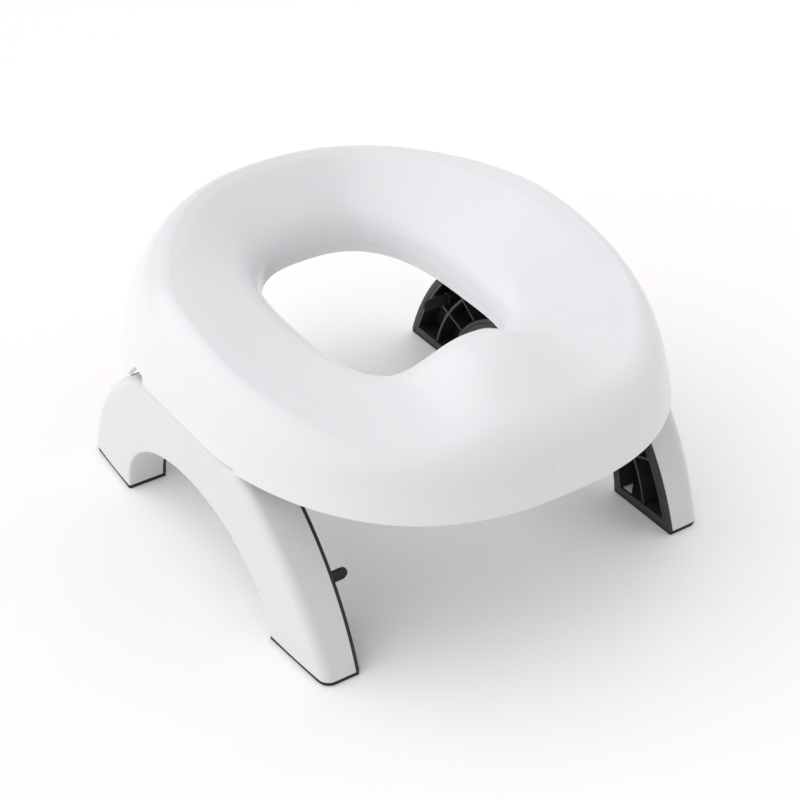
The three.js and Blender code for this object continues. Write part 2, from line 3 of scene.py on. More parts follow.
import bmesh
import bpy
import numpy as np
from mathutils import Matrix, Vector


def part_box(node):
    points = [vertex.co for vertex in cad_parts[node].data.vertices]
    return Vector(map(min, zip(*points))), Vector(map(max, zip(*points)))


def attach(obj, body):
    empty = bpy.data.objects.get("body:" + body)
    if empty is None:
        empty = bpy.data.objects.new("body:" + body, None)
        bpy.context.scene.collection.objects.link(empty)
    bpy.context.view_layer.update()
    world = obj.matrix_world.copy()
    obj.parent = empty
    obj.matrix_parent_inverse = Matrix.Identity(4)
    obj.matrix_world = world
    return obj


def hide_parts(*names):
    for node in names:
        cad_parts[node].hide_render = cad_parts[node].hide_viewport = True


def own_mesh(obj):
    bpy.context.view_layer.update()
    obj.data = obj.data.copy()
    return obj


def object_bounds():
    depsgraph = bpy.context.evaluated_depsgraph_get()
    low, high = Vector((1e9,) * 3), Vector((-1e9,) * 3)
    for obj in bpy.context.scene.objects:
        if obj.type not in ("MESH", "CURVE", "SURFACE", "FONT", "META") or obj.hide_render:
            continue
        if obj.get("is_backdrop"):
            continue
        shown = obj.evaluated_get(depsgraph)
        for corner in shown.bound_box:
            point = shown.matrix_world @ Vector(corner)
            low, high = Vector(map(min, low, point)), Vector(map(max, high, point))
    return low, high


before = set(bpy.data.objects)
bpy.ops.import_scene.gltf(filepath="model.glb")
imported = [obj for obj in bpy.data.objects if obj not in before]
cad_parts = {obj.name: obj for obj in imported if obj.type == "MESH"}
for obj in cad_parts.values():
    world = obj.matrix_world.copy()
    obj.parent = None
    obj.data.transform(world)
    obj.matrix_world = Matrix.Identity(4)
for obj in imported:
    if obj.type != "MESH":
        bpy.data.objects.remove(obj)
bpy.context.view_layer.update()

# ---- Seat shell ----
# One injection moulding in glossy white plastic: a rolled hole rim, a dish, a raised crest with a
# splash guard at the front, and a skirt that is cut away over each hinge. Two screws a side hold
# it to the hinge brackets through posts under the dish.
SEAT_HALF_WIDTH = 0.131
SEAT_FRONT, SEAT_REAR, SEAT_WIDEST_Y = 0.175, 0.122, 0.0265
HOLE_HALF_WIDTH, HOLE_FRONT, HOLE_REAR, HOLE_Y = 0.050, 0.0625, 0.079, 0.012
GUARD_RISE, GUARD_HALF_WIDTH, GUARD_PEAK_Y = 0.0195, 0.033, -0.0765
SKIRT_Z, COLLAR_Z, SEAT_WALL = 0.090, 0.102, 0.003
HINGE_Z, HINGE_X = 0.082, 0.1175
HOLE_RIM_Z, RIM_ROLL = 0.111, 0.008
NOTCH_FRONT_Y, NOTCH_REAR_Y, NOTCH_HEIGHT, NOTCH_SLOPE = -0.0455, 0.0600, 0.0115, 0.011
# Knots by degrees from straight ahead: the crest's height, and its share of the way from hole to edge.
CREST_HEIGHTS = [[0, 0.120], [28, 0.1205], [52, 0.131], [85, 0.1425], [125, 0.1465], [180, 0.148]]
CREST_PLACES = [[0, 0.72], [28, 0.75], [60, 0.80], [90, 0.75], [112, 0.67], [135, 0.63], [180, 0.66]]


def oval(phi, half_width, front, rear, middle_y, front_power, rear_power):
    """Where the ray at angle phi meets |x/a|^n + |y/b|^n = 1, with its own b and n fore and aft."""
    c, s = np.cos(phi), np.sin(phi)
    b = np.where(s < 0, front, rear)
    n = np.where(s < 0, front_power, rear_power)
    r = (np.abs(c / half_width) ** n + np.abs(s / b) ** n) ** (-1 / n)
    return np.stack([r * c, middle_y + r * s], axis=-1)


def through(knots, at):
    """Smooth curve through [place, value] knots: cubic Hermite spans, level at the two ends."""
    x, y = np.array(knots, float).T
    rise = np.diff(y) / np.diff(x)
    slope = np.concatenate([[0], np.where(rise[1:] * rise[:-1] > 0, (rise[1:] + rise[:-1]) / 2, 0), [0]])
    i = np.clip(np.searchsorted(x, at) - 1, 0, len(x) - 2)
    h = x[i + 1] - x[i]
    t = np.clip((at - x[i]) / h, 0, 1)
    return (y[i] * (1 + 2 * t) * (1 - t) ** 2 + slope[i] * h * t * (1 - t) ** 2
            + y[i + 1] * t * t * (3 - 2 * t) + slope[i + 1] * h * t * t * (t - 1))


def grid_mesh(name, points, wrap_u=True, wrap_v=True, flip=False, caps=False):
    """Mesh of a (u, v, 3) grid of points in quads; caps close the two ends of u with one face."""
    rows, cols = points.shape[:2]
    i, j = np.meshgrid(np.arange(rows if wrap_u else rows - 1),
                       np.arange(cols if wrap_v else cols - 1), indexing="ij")
    i2, j2 = (i + 1) % rows, (j + 1) % cols
    quads = np.stack([i * cols + j, i2 * cols + j, i2 * cols + j2, i * cols + j2], axis=-1).reshape(-1, 4)
    if flip:
        quads = quads[:, ::-1]
    faces = quads.tolist()
    if caps:
        first, last = list(range(cols)), list(range((rows - 1) * cols, rows * cols))
        faces += [first if flip else first[::-1], last[::-1] if flip else last]
    mesh = bpy.data.meshes.new(name)
    mesh.from_pydata(points.reshape(-1, 3).tolist(), [], faces)
    mesh.validate()
    mesh.shade_smooth()
    piece = bpy.data.objects.new(name, mesh)
    bpy.context.scene.collection.objects.link(piece)
    return piece


def smooth_by_angle(piece, degrees):
    """Shades smooth, with a hard line wherever two faces meet at more than the angle."""
    piece.data.set_sharp_from_angle(angle=math.radians(degrees))


def guard_height(plan):
    """The splash guard's rise above the dish: a bell across, a quick ramp behind and a long fade ahead."""
    x, y = plan[..., 0], plan[..., 1]
    ahead = np.clip(HOLE_Y - HOLE_FRONT - y, 0, None)
    ramp = 1 - np.exp(-(ahead / 0.009) ** 1.7)
    fade = 0.5 + 0.5 * np.cos(np.pi * np.clip((GUARD_PEAK_Y - y) / 0.078, 0, 1))
    widen = GUARD_HALF_WIDTH * (1 + 0.35 * np.clip((GUARD_PEAK_Y - y) / 0.05, 0, 1))
    return GUARD_RISE * ramp * fade * np.exp(-np.abs(x / widen) ** 2.2)


def seat_surface(phi, inward):
    """Hole rim to skirt edge at every angle: collar, roll, dish, crest and shoulder, moved in by a depth.

    The dish is a cone from the rolled rim up to a rounded crest; the shoulder falls from the crest as
    a superellipse quarter mixed with a straight draft; crest height and place vary with the angle."""
    front = np.degrees(np.abs((phi + np.pi / 2 + np.pi) % (2 * np.pi) - np.pi))
    hole = oval(phi, HOLE_HALF_WIDTH, HOLE_FRONT, HOLE_REAR, HOLE_Y, 3.8, 2.7)
    edge = oval(phi, SEAT_HALF_WIDTH, SEAT_FRONT, SEAT_REAR, SEAT_WIDEST_Y, 2.48, 2.14)
    reach = np.linalg.norm(edge - hole, axis=-1)[:, None]
    crest = through(CREST_HEIGHTS, front)[:, None]
    place = through(CREST_PLACES, front)[:, None] * reach
    wall = np.linspace(0, 1, 7)[None, :-1]
    wall_out = -0.0008 * (1 - wall) ** 1.5 + 0 * crest
    wall_z = COLLAR_Z + (HOLE_RIM_Z - 0.003 - COLLAR_Z) * wall + 0 * crest
    s = np.linspace(0, 1, 52)[None, :] ** 1.3
    dish_out = s * place
    roll = RIM_ROLL * (1 - np.exp(-(dish_out / 0.0045) ** 1.1)) - 0.003 * np.exp(-dish_out / 0.0012)
    soft = through([[0, 0.16], [40, 0.15], [80, 0.09], [180, 0.09]], front)[:, None]
    cone = s - 0.5 * soft * np.exp(-((1 - s) / soft) ** 2)
    dish_z = HOLE_RIM_Z + roll + (crest - HOLE_RIM_Z - RIM_ROLL) * cone
    top = dish_z[:, -1:]
    edge_y = edge[:, 1:2]
    side = np.clip((np.abs(edge[:, 0:1]) - 0.10) / 0.001, 0, 1)
    notch = NOTCH_HEIGHT * side * np.clip((edge_y - NOTCH_FRONT_Y) / 0.0008, 0, 1)
    notch = notch * np.clip((NOTCH_REAR_Y - edge_y) / NOTCH_SLOPE, 0, 1)
    lowest = np.arcsin(np.clip(notch / (top - SKIRT_Z), 0, 1) ** 2)
    turn = np.pi / 2 + (lowest - np.pi / 2) * np.linspace(0, 1, 40)[None, 1:]
    level = np.sqrt(np.sin(turn))
    inset = 0.35 * level + 0.65 * (1 - np.cos(turn))
    skirt_out = reach - (reach - place) * inset
    skirt_z = SKIRT_Z + (top - SKIRT_Z) * level
    out = np.concatenate([wall_out, dish_out, skirt_out], axis=1)
    height = np.concatenate([wall_z, dish_z, skirt_z], axis=1)
    share = (out / reach)[..., None]
    plan = hole[:, None, :] * (1 - share) + edge[:, None, :] * share
    height = height + guard_height(plan) * np.clip((height - SKIRT_Z) / 0.022, 0, 1)
    along = np.stack([np.gradient(out, axis=1), np.gradient(height, axis=1)], axis=-1)
    along /= np.linalg.norm(along, axis=-1, keepdims=True)
    out = out + along[..., 1] * inward
    height = height - along[..., 0] * inward
    share = (out / reach)[..., None]
    plan = hole[:, None, :] * (1 - share) + edge[:, None, :] * share
    return np.concatenate([plan, height[..., None]], axis=-1)


notch_steps = np.linspace(-0.0745, -0.0705, 9)
seat_phi = np.sort(np.concatenate([np.linspace(-np.pi, np.pi, 440, endpoint=False),
                                   np.arctan2(notch_steps, -0.124), np.arctan2(notch_steps, 0.124)]))
outer_skin = seat_surface(seat_phi, 0.0)
inner_skin = seat_surface(seat_phi, SEAT_WALL)
inner_skin[:, 0, 2] = COLLAR_Z
inner_skin[:, -1, 2] = outer_skin[:, -1, 2]
lip = outer_skin[:, -1:, :] * 0.5 + inner_skin[:, -1:, :] * 0.5
seat = grid_mesh("seat_moulding", np.concatenate([outer_skin, lip, inner_skin[:, ::-1]], axis=1))
smooth_by_angle(seat, 38)
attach(seat, "seat")
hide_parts("seat_shell")


def moulding_group():
    """Node group for moulded plastic: slow colour drift, fine grain height and uneven gloss."""
    group = bpy.data.node_groups.new("moulded_plastic", "ShaderNodeTree")
    face = group.interface
    for label, kind, value in (("Base", "NodeSocketColor", (0.8, 0.8, 0.8, 1)),
                               ("Drift", "NodeSocketColor", (0.7, 0.7, 0.7, 1)),
                               ("Drift Amount", "NodeSocketFloat", 0.2),
                               ("Drift Scale", "NodeSocketFloat", 14),
                               ("Grain Scale", "NodeSocketFloat", 900), ("Gloss Low", "NodeSocketFloat", 0.3),
                               ("Gloss High", "NodeSocketFloat", 0.4)):
        socket = face.new_socket(label, in_out="INPUT", socket_type=kind)
        socket.default_value = value
    face.new_socket("Colour", in_out="OUTPUT", socket_type="NodeSocketColor")
    face.new_socket("Roughness", in_out="OUTPUT", socket_type="NodeSocketFloat")
    face.new_socket("Grain", in_out="OUTPUT", socket_type="NodeSocketFloat")
    make, join = group.nodes.new, group.links.new
    into, out, place = make("NodeGroupInput"), make("NodeGroupOutput"), make("ShaderNodeTexCoord")
    slow, fine, patch = (make("ShaderNodeTexNoise") for _ in range(3))
    slow.inputs["Detail"].default_value, fine.inputs["Detail"].default_value = 3, 2
    patch.inputs["Scale"].default_value, patch.inputs["Detail"].default_value = 45, 4
    blend, amount, gloss = make("ShaderNodeMix"), make("ShaderNodeMath"), make("ShaderNodeMapRange")
    blend.data_type, amount.operation = "RGBA", "MULTIPLY"
    for noise in (slow, fine, patch):
        join(place.outputs["Object"], noise.inputs["Vector"])
    join(into.outputs["Drift Scale"], slow.inputs["Scale"])
    join(into.outputs["Grain Scale"], fine.inputs["Scale"])
    join(slow.outputs["Fac"], amount.inputs[0])
    join(into.outputs["Drift Amount"], amount.inputs[1])
    join(amount.outputs[0], blend.inputs["Factor"])
    join(into.outputs["Base"], blend.inputs["A"])
    join(into.outputs["Drift"], blend.inputs["B"])
    join(patch.outputs["Fac"], gloss.inputs["Value"])
    join(into.outputs["Gloss Low"], gloss.inputs["To Min"])
    join(into.outputs["Gloss High"], gloss.inputs["To Max"])
    join(blend.outputs["Result"], out.inputs["Colour"])
    join(gloss.outputs["Result"], out.inputs["Roughness"])
    join(fine.outputs["Fac"], out.inputs["Grain"])
    return group


moulded = moulding_group()


def moulded_plastic(name, base, drift, amount, scale, gloss, grain=900, depth=0.00002, ior=1.46, coat=0.0):
    """A plastic with the moulded group's colour, gloss and grain, and its own index and coat."""
    material = bpy.data.materials.new(name)
    material.use_nodes = True
    tree = material.node_tree
    shader = tree.nodes["Principled BSDF"]
    finish, bump = tree.nodes.new("ShaderNodeGroup"), tree.nodes.new("ShaderNodeBump")
    finish.node_tree = moulded
    for label, value in (("Base", (*base, 1)), ("Drift", (*drift, 1)), ("Drift Amount", amount),
                         ("Drift Scale", scale), ("Grain Scale", grain),
                         ("Gloss Low", gloss[0]), ("Gloss High", gloss[1])):
        finish.inputs[label].default_value = value
    bump.inputs["Distance"].default_value, bump.inputs["Strength"].default_value = depth, 0.6
    shader.inputs["IOR"].default_value = ior
    shader.inputs["Coat Weight"].default_value = coat
    tree.links.new(finish.outputs["Colour"], shader.inputs["Base Color"])
    tree.links.new(finish.outputs["Roughness"], shader.inputs["Roughness"])
    tree.links.new(finish.outputs["Grain"], bump.inputs["Height"])
    tree.links.new(bump.outputs["Normal"], shader.inputs["Normal"])
    return material


white_plastic = moulded_plastic("white_gloss_plastic", (0.77, 0.77, 0.795), (0.72, 0.72, 0.755), 0.25, 9,
                                (0.20, 0.30), grain=260, depth=0.00003)
seat.data.materials.append(white_plastic)

# ---- Leg shells ----
# Each leg's pale outer moulding in satin grey plastic: an arch between two feet, 3 mm thick, with a
# round hinge barrel along its top. It is open on the inner side, where the black liner screws in.
LEG_Y, FOOT_HALF, TOP_HALF, TOP_Z, SIDE_BULGE = 0.007, 0.1233, 0.056, 0.086, 0.0103
ARCH_HALF, ARCH_HEIGHT, ARCH_POWER = 0.075, 0.054, 2.0
LEG_BOTTOM, BARREL_TOP, LEG_WALL, EDGE_ROUND = 0.0023, 0.089, 0.003, 0.006
LEG_INNER, SHELL_INNER, FACE_FOOT_X, FACE_TOP_X = 0.0987, 0.1006, 0.1217, 0.1245
BARREL_INNER, INNER_TOP = 0.1105, 0.0802
ARM_OFFSET, ARM_SLOT_HALF, ARM_REACH, SLOT_INNER, SLOT_TOP = 0.027, 0.0045, 0.0165, 0.0937, 0.102
NOSE_SLOT_HALF, RECESS_LOW, RECESS_HIGH, RECESS_X = 0.0075, 0.0756, 0.092, 0.1106
# The shares of the arch's length that stand by the two corners of the outline.
CORNER_SHARES = (0.3365, 0.6635)


def evenly(points, shares):
    """Points at given shares of a polyline's length."""
    length = np.concatenate([[0], np.cumsum(np.linalg.norm(np.diff(points, axis=0), axis=1))])
    return np.stack([np.interp(shares * length[-1], length, points[:, k]) for k in range(2)], axis=-1)


def leg_curves(shares):
    """The arch and the outline, from the rear foot over the top to the front foot, as (y, z).

    The outline is a circle arc up each side and a level top; the arch is a superellipse half."""
    chord = np.array([FOOT_HALF - TOP_HALF, TOP_Z])
    run = np.linalg.norm(chord)
    radius = (run * run / 4 + SIDE_BULGE ** 2) / (2 * SIDE_BULGE)
    middle = np.array([(FOOT_HALF + TOP_HALF) / 2 - (radius - SIDE_BULGE) * TOP_Z / run,
                       TOP_Z / 2 - (radius - SIDE_BULGE) * chord[0] / run])
    z = np.linspace(LEG_BOTTOM, BARREL_TOP, 60)
    side = np.stack([middle[0] + np.sqrt(radius ** 2 - (z - middle[1]) ** 2), z], axis=-1)
    corner = side[-1, 0]
    top = np.stack([np.linspace(corner, 0, 30), np.full(30, BARREL_TOP)], axis=-1)
    half = np.concatenate([side[:-1], top])
    outline = np.concatenate([half, half[-2::-1] * [-1, 1]])
    angle = np.linspace(math.asin((LEG_BOTTOM / ARCH_HEIGHT) ** (ARCH_POWER / 2)), np.pi / 2, 80)
    arch_half = np.stack([ARCH_HALF * np.abs(np.cos(angle)) ** (2 / ARCH_POWER),
                          ARCH_HEIGHT * np.sin(angle) ** (2 / ARCH_POWER)], axis=-1)
    arch = np.concatenate([arch_half, arch_half[-2::-1] * [-1, 1]])
    return evenly(arch, shares) + [LEG_Y, 0], evenly(outline, shares) + [LEG_Y, 0]


def face_x(spot):
    """How far out the leg's outer face stands: it leans out upward and bows in at the foot ends."""
    lean = FACE_FOOT_X + (FACE_TOP_X - FACE_FOOT_X) * (spot[..., 1] - LEG_BOTTOM) / (HINGE_Z - LEG_BOTTOM)
    end = np.clip((np.abs(spot[..., 0] - LEG_Y) - 0.056) / 0.067, 0, 1)
    return np.minimum(lean, FACE_TOP_X) - 0.0036 * end ** 2


def leg_section(shares):
    """The shell's closed wall section at each share of the arch: arch wall, face, rounded edge, side."""
    arch, outline = leg_curves(shares)
    across = outline - arch
    width = np.linalg.norm(across, axis=-1, keepdims=True)
    across = across / width
    rows = []

    def add(spot, x):
        rows.append(np.concatenate([np.broadcast_to(x, spot[:, :1].shape), spot], axis=-1))

    arch_x = face_x(arch)[:, None]
    small = 0.0012
    for t in np.linspace(0, 1, 6):
        add(arch, SHELL_INNER + (arch_x - small - SHELL_INNER) * t)
    for turn in np.linspace(0, np.pi / 2, 5)[1:]:
        add(arch + across * small * (1 - np.cos(turn)), arch_x - small * (1 - np.sin(turn)))
    for t in np.linspace(0, 1, 14)[1:]:
        spot = arch + across * (small + (width - small - EDGE_ROUND) * t)
        add(spot, face_x(spot)[:, None])
    base_x = face_x(outline - across * EDGE_ROUND)[:, None]
    for turn in np.linspace(0, np.pi / 2, 11)[1:]:
        add(outline - across * EDGE_ROUND * (1 - np.sin(turn)), base_x - EDGE_ROUND * (1 - np.cos(turn)))
    low = np.stack([outline[:, 0], np.minimum(outline[:, 1], INNER_TOP)], axis=-1)
    for t in np.linspace(0, 1, 4)[1:]:
        add(outline, base_x - EDGE_ROUND + (BARREL_INNER + 0.001 - base_x + EDGE_ROUND) * t)
    for t in (0.3, 0.7, 1.0):
        add(outline + (low - outline) * t, BARREL_INNER + 0.001 * (1 - t) ** 2)
    for t in np.linspace(0, 1, 6)[1:]:
        add(low, BARREL_INNER + (SHELL_INNER - BARREL_INNER) * t)
    outer_count = len(rows)
    under = low - across * LEG_WALL
    under[:, 1] = np.clip(under[:, 1], LEG_BOTTOM + LEG_WALL, 0.074)
    over = arch + across * LEG_WALL
    over[:, 1] = np.maximum(over[:, 1], LEG_BOTTOM + LEG_WALL)
    for t in np.linspace(0, 1, 4):
        add(under, SHELL_INNER + (base_x - LEG_WALL - 0.001 - SHELL_INNER) * t)
    for t in np.linspace(0, 1, 8)[1:]:
        spot = under + (over - under) * t
        add(spot, np.minimum(base_x, face_x(spot)[:, None]) - LEG_WALL - 0.001 * (1 - t))
    for t in np.linspace(0, 1, 4)[1:]:
        add(over, arch_x - LEG_WALL + (SHELL_INNER - arch_x + LEG_WALL) * t)
    return np.stack(rows, axis=1), outer_count


def channel_mesh(name, points, outer_count, side):
    """Mesh of a swept open channel, mirrored for the left; each end closes with a floor and a sole."""
    points = points * [side, 1, 1]
    rows, cols = points.shape[:2]
    i, j = np.meshgrid(np.arange(rows - 1), np.arange(cols), indexing="ij")
    j2 = (j + 1) % cols
    here, after = i * cols, (i + 1) * cols
    quads = np.stack([here + j, here + j2, after + j2, after + j], axis=-1).reshape(-1, 4)
    faces = quads.tolist()
    for row, turned in ((0, False), (rows - 1, True)):
        ring = list(range(row * cols, (row + 1) * cols))
        outer, inner = ring[:outer_count], ring[outer_count:]
        ends = [outer, inner, [outer[-1], outer[0], inner[-1], inner[0]]]
        faces += [face if turned else face[::-1] for face in ends]
    if side < 0:
        faces = [face[::-1] for face in faces]
    mesh = bpy.data.meshes.new(name)
    mesh.from_pydata(points.reshape(-1, 3).tolist(), [], faces)
    mesh.validate()
    mesh.shade_smooth()
    piece = bpy.data.objects.new(name, mesh)
    bpy.context.scene.collection.objects.link(piece)
    return piece


def block(lows, highs):
    """Closed box between two corners, as a mesh object that is only used for cutting."""
    ends = np.minimum(lows, highs), np.maximum(lows, highs)
    corner = np.array([[ends[(n >> k) & 1][k] for k in range(3)] for n in range(8)])
    mesh = bpy.data.meshes.new("cut")
    faces = [(0, 2, 3, 1), (4, 5, 7, 6), (0, 1, 5, 4), (2, 6, 7, 3), (0, 4, 6, 2), (1, 3, 7, 5)]
    mesh.from_pydata(corner.tolist(), [], faces)
    piece = bpy.data.objects.new("cut", mesh)
    bpy.context.scene.collection.objects.link(piece)
    return piece


def rod(axis, radius, ends, middle, sides=32):
    """Closed round bar along x, y or z: circles at its two ends, with a small chamfer on each."""
    angle = np.linspace(0, 2 * np.pi, sides, endpoint=False)
    chamfer = min(0.0003, radius * 0.15)
    places = [ends[0], ends[0] + chamfer, ends[1] - chamfer, ends[1]]
    radii = [radius - chamfer, radius, radius, radius - chamfer]
    a = np.array(radii)[:, None] * np.cos(angle) + middle[0]
    b = np.array(radii)[:, None] * np.sin(angle) + middle[1]
    h = np.array(places)[:, None] + 0 * a
    order = {"x": (h, a, b), "y": (a, h, b), "z": (a, b, h)}[axis]
    return grid_mesh("rod", np.stack(order, axis=-1), wrap_u=False, flip=axis != "y", caps=True)


def cut(piece, *tools):
    """Takes the tools' shapes out of a piece, then removes the tools."""
    for tool in tools:
        step = piece.modifiers.new("cut", "BOOLEAN")
        step.operation, step.solver, step.object = "DIFFERENCE", "EXACT", tool
    bpy.context.view_layer.update()
    done = bpy.data.meshes.new_from_object(piece.evaluated_get(bpy.context.evaluated_depsgraph_get()))
    piece.modifiers.clear()
    piece.data = done
    for tool in tools:
        bpy.data.objects.remove(tool)


def hinge_slots(side):
    """The room that the hinge arms sweep in the leg, and the recess for the latch's nose.

    The recess is 0.4 mm deeper than the CAD's, which the nose touches when the leg is folded in."""
    sweep = math.hypot(ARM_REACH, 0.003) + 0.0005
    spans = [(LEG_Y + at - ARM_SLOT_HALF, LEG_Y + at + ARM_SLOT_HALF) for at in (-ARM_OFFSET, ARM_OFFSET)]
    tools = [block((side * SLOT_INNER, front, HINGE_Z - sweep), (side * 0.121, rear, SLOT_TOP))
             for front, rear in spans]
    tools += [rod("y", 0.005, span, (side * HINGE_X, HINGE_Z)) for span in spans]
    tools.append(block((side * SLOT_INNER, LEG_Y - NOSE_SLOT_HALF, RECESS_LOW),
                       (side * RECESS_X, LEG_Y + NOSE_SLOT_HALF, RECESS_HIGH)))
    return tools


grey_plastic = moulded_plastic("grey_satin_plastic", (0.70, 0.705, 0.715), (0.65, 0.66, 0.675), 0.3, 12,
                               (0.34, 0.46), grain=1400, depth=0.00003)
leg_shares = np.sort(np.concatenate([np.linspace(0, 1, 150),
                                     *[at + np.linspace(-0.006, 0.006, 9) for at in CORNER_SHARES]]))
for leg_name, leg_side in (("left", -1), ("right", 1)):
    section, outer_count = leg_section(leg_shares)
    leg = channel_mesh(f"{leg_name}_leg_moulding", section, outer_count, leg_side)
    cut(leg, *hinge_slots(leg_side),
        rod("y", 0.0028, (LEG_Y - 0.0463, 0.12), (leg_side * HINGE_X, HINGE_Z)))
    smooth_by_angle(leg, 35)
    leg.data.materials.clear()
    leg.data.materials.append(grey_plastic)
    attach(leg, f"{leg_name}_leg")
    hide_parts(f"{leg_name}_leg_shell")

# ---- Leg liners ----
# The black inner moulding of each leg: a flat lip with a fine step line, a ribbed tray behind it and
# a post for each bag tab. Four screws hold it. The bosses that take them, closed in behind the tray,
# are in the CAD's shell and are left out of the leg moulding above.
TRAY_DEPTH, LINER_WALL, LINER_LIP, LIP_WIDTH, RIB_DROP = 0.0123, 0.002, 0.0016, 0.0053, 0.0014
TRAY_TOP_Z, ARCH_RUN, RIB_HALF, STEP_LINE = 0.0717, 0.33, 0.0008, 0.00035
RIB_SHARES = (0.118, 0.2, 0.285, 0.37, 0.5, 0.63, 0.715, 0.8, 0.882)
SCREW_PLACES = ((0.101, 0.017, "low"), (0.044, 0.066, "high"))


def liner_faces(shares):
    """The liner's front and back as depths over the leg's plan: a trough with ribs of less depth.

    Across the leg the lip is level, the walls are steep and the floor is flat; a rib along the middle
    and ribs from arch to outline stand up from the floor to just below the lip."""
    arch, outline = leg_curves(shares)
    low = np.stack([outline[:, 0], np.minimum(outline[:, 1], INNER_TOP)], axis=-1)
    width = np.linalg.norm(low - arch, axis=-1)[:, None]
    nearly_top = np.clip((outline[:, 1:2] - 0.080) / 0.006, 0, 1)
    tray_top = np.maximum(LIP_WIDTH, (low[:, 1:2] - TRAY_TOP_Z) * nearly_top)
    steps = np.array([[0.0, 0.0004, 0.0029, 0.0031, 0.0033, 0.0050, LIP_WIDTH, LIP_WIDTH + 0.0005]])
    near = steps / width
    far = 1 - (steps + (tray_top - LIP_WIDTH) * (steps > 0.004))[:, ::-1] / width
    half = RIB_HALF / width
    start, stop = near[:, -1:], far[:, :1]
    middle = (start + stop) / 2
    left_floor = start + (middle - half * 1.4 - start) * np.linspace(0, 1, 6)[None, 1:]
    rib = np.concatenate([middle - half, middle, middle + half, middle + half * 1.4], axis=1)
    right_floor = middle + half * 1.4 + (stop - middle - half * 1.4) * np.linspace(0, 1, 6)[None, 1:-1]
    t = np.concatenate([near, left_floor, rib, right_floor, far], axis=1)
    groove = np.array([0, 0, 0, 1, 0, 0, 0, 0])
    lip_kind = np.array([0.0001, 0, 0, 0, 0, 0, 0.0001, 1])
    depth = np.concatenate([lip_kind, np.ones(5), [RIB_DROP / TRAY_DEPTH] * 3, np.ones(5), lip_kind[::-1]])
    lines = np.concatenate([groove, np.zeros(13), groove[::-1]])
    run = shares[:, None] * ARCH_RUN
    end = np.clip((np.minimum(run, ARCH_RUN - run) - 0.0042) / 0.0006, 0, 1)
    across = np.min(np.abs(run - np.array(RIB_SHARES)[None, :] * ARCH_RUN), axis=1)[:, None]
    clear = np.clip((across - RIB_HALF) / 0.00025, 0, 1)
    hollow = TRAY_DEPTH * depth[None, :] * end
    hollow = np.minimum(hollow, RIB_DROP + (TRAY_DEPTH - RIB_DROP) * clear)
    plan = arch[:, None, :] * (1 - t[..., None]) + low[:, None, :] * t[..., None]
    front_x = LEG_INNER + hollow + STEP_LINE * lines[None, :]
    deep = np.repeat([0.0, 1.0, 0.0], [5, 19, 5])
    end_back = np.clip((np.minimum(run, ARCH_RUN - run) - 0.0030) / 0.0006, 0, 1)
    back_x = LEG_INNER + LINER_LIP + (TRAY_DEPTH + LINER_WALL - LINER_LIP) * deep[None, :] * end_back
    front_face = np.concatenate([front_x[..., None], plan], axis=-1)
    back_face = np.concatenate([back_x[..., None], plan], axis=-1)
    return np.concatenate([front_face, back_face[:, ::-1]], axis=1)


black_plastic = moulded_plastic("black_satin_plastic", (0.022, 0.022, 0.023), (0.035, 0.035, 0.036), 0.4, 20,
                                (0.30, 0.42), grain=1600, depth=0.00003)
end_shares = np.array([0.004, 0.008, 0.0092, 0.0128, 0.0146, 0.0164])
liner_shares = np.sort(np.unique(np.concatenate([
    np.linspace(0, 1, 120), end_shares, 1 - end_shares,
    *[at + np.linspace(-0.006, 0.006, 5) for at in CORNER_SHARES],
    *[at + np.array([-0.0033, -0.00243, 0.00243, 0.0033]) for at in RIB_SHARES]])))
for leg_name, leg_side in (("left", -1), ("right", 1)):
    liner = grid_mesh(f"{leg_name}_liner_moulding", liner_faces(liner_shares) * [leg_side, 1, 1],
                      wrap_u=False, flip=leg_side < 0, caps=True)
    holes = [rod("x", 0.0017, sorted((leg_side * 0.1105, leg_side * 0.1145)), (LEG_Y + end * at, height))
             for end in (-1, 1) for at, height, _ in SCREW_PLACES]
    cut(liner, *hinge_slots(leg_side), *holes)
    smooth_by_angle(liner, 30)
    liner.data.materials.clear()
    liner.data.materials.append(black_plastic)
    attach(liner, f"{leg_name}_leg")
    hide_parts(f"{leg_name}_leg_liner")

# ---- Foot pads ----
# A 2 mm rubber sole under each foot, moulded to the foot's plan and pressed on.
PAD_THICKNESS, PAD_INNER = 0.0020, 0.0990


def slab(name, outline, low, high, edge, place):
    """Closed plate: an outline lofted between two levels, its rims rounded by a small edge radius.

    Each ring is the outline moved inward along its own normals by the rounding at that level."""
    ahead = np.roll(outline, -1, axis=0) - np.roll(outline, 1, axis=0)
    ahead /= np.linalg.norm(ahead, axis=-1, keepdims=True)
    area = np.sum(outline[:, 0] * np.roll(outline[:, 1], -1) - outline[:, 1] * np.roll(outline[:, 0], -1))
    inward = np.sign(area) * np.stack([-ahead[:, 1], ahead[:, 0]], axis=-1)
    turn = np.linspace(0, np.pi / 2, 5)
    insets = np.concatenate([edge * (1 - np.sin(turn)), edge * (1 - np.sin(turn[::-1]))])
    levels = np.concatenate([low + edge * (1 - np.cos(turn)), high - edge * (1 - np.cos(turn[::-1]))])
    rings = outline[None] + inward[None] * insets[:, None, None]
    points = place(rings[..., 0], rings[..., 1], levels[:, None] + 0 * rings[..., 0])
    return grid_mesh(name, np.stack(points, axis=-1), wrap_u=False, flip=True, caps=True)


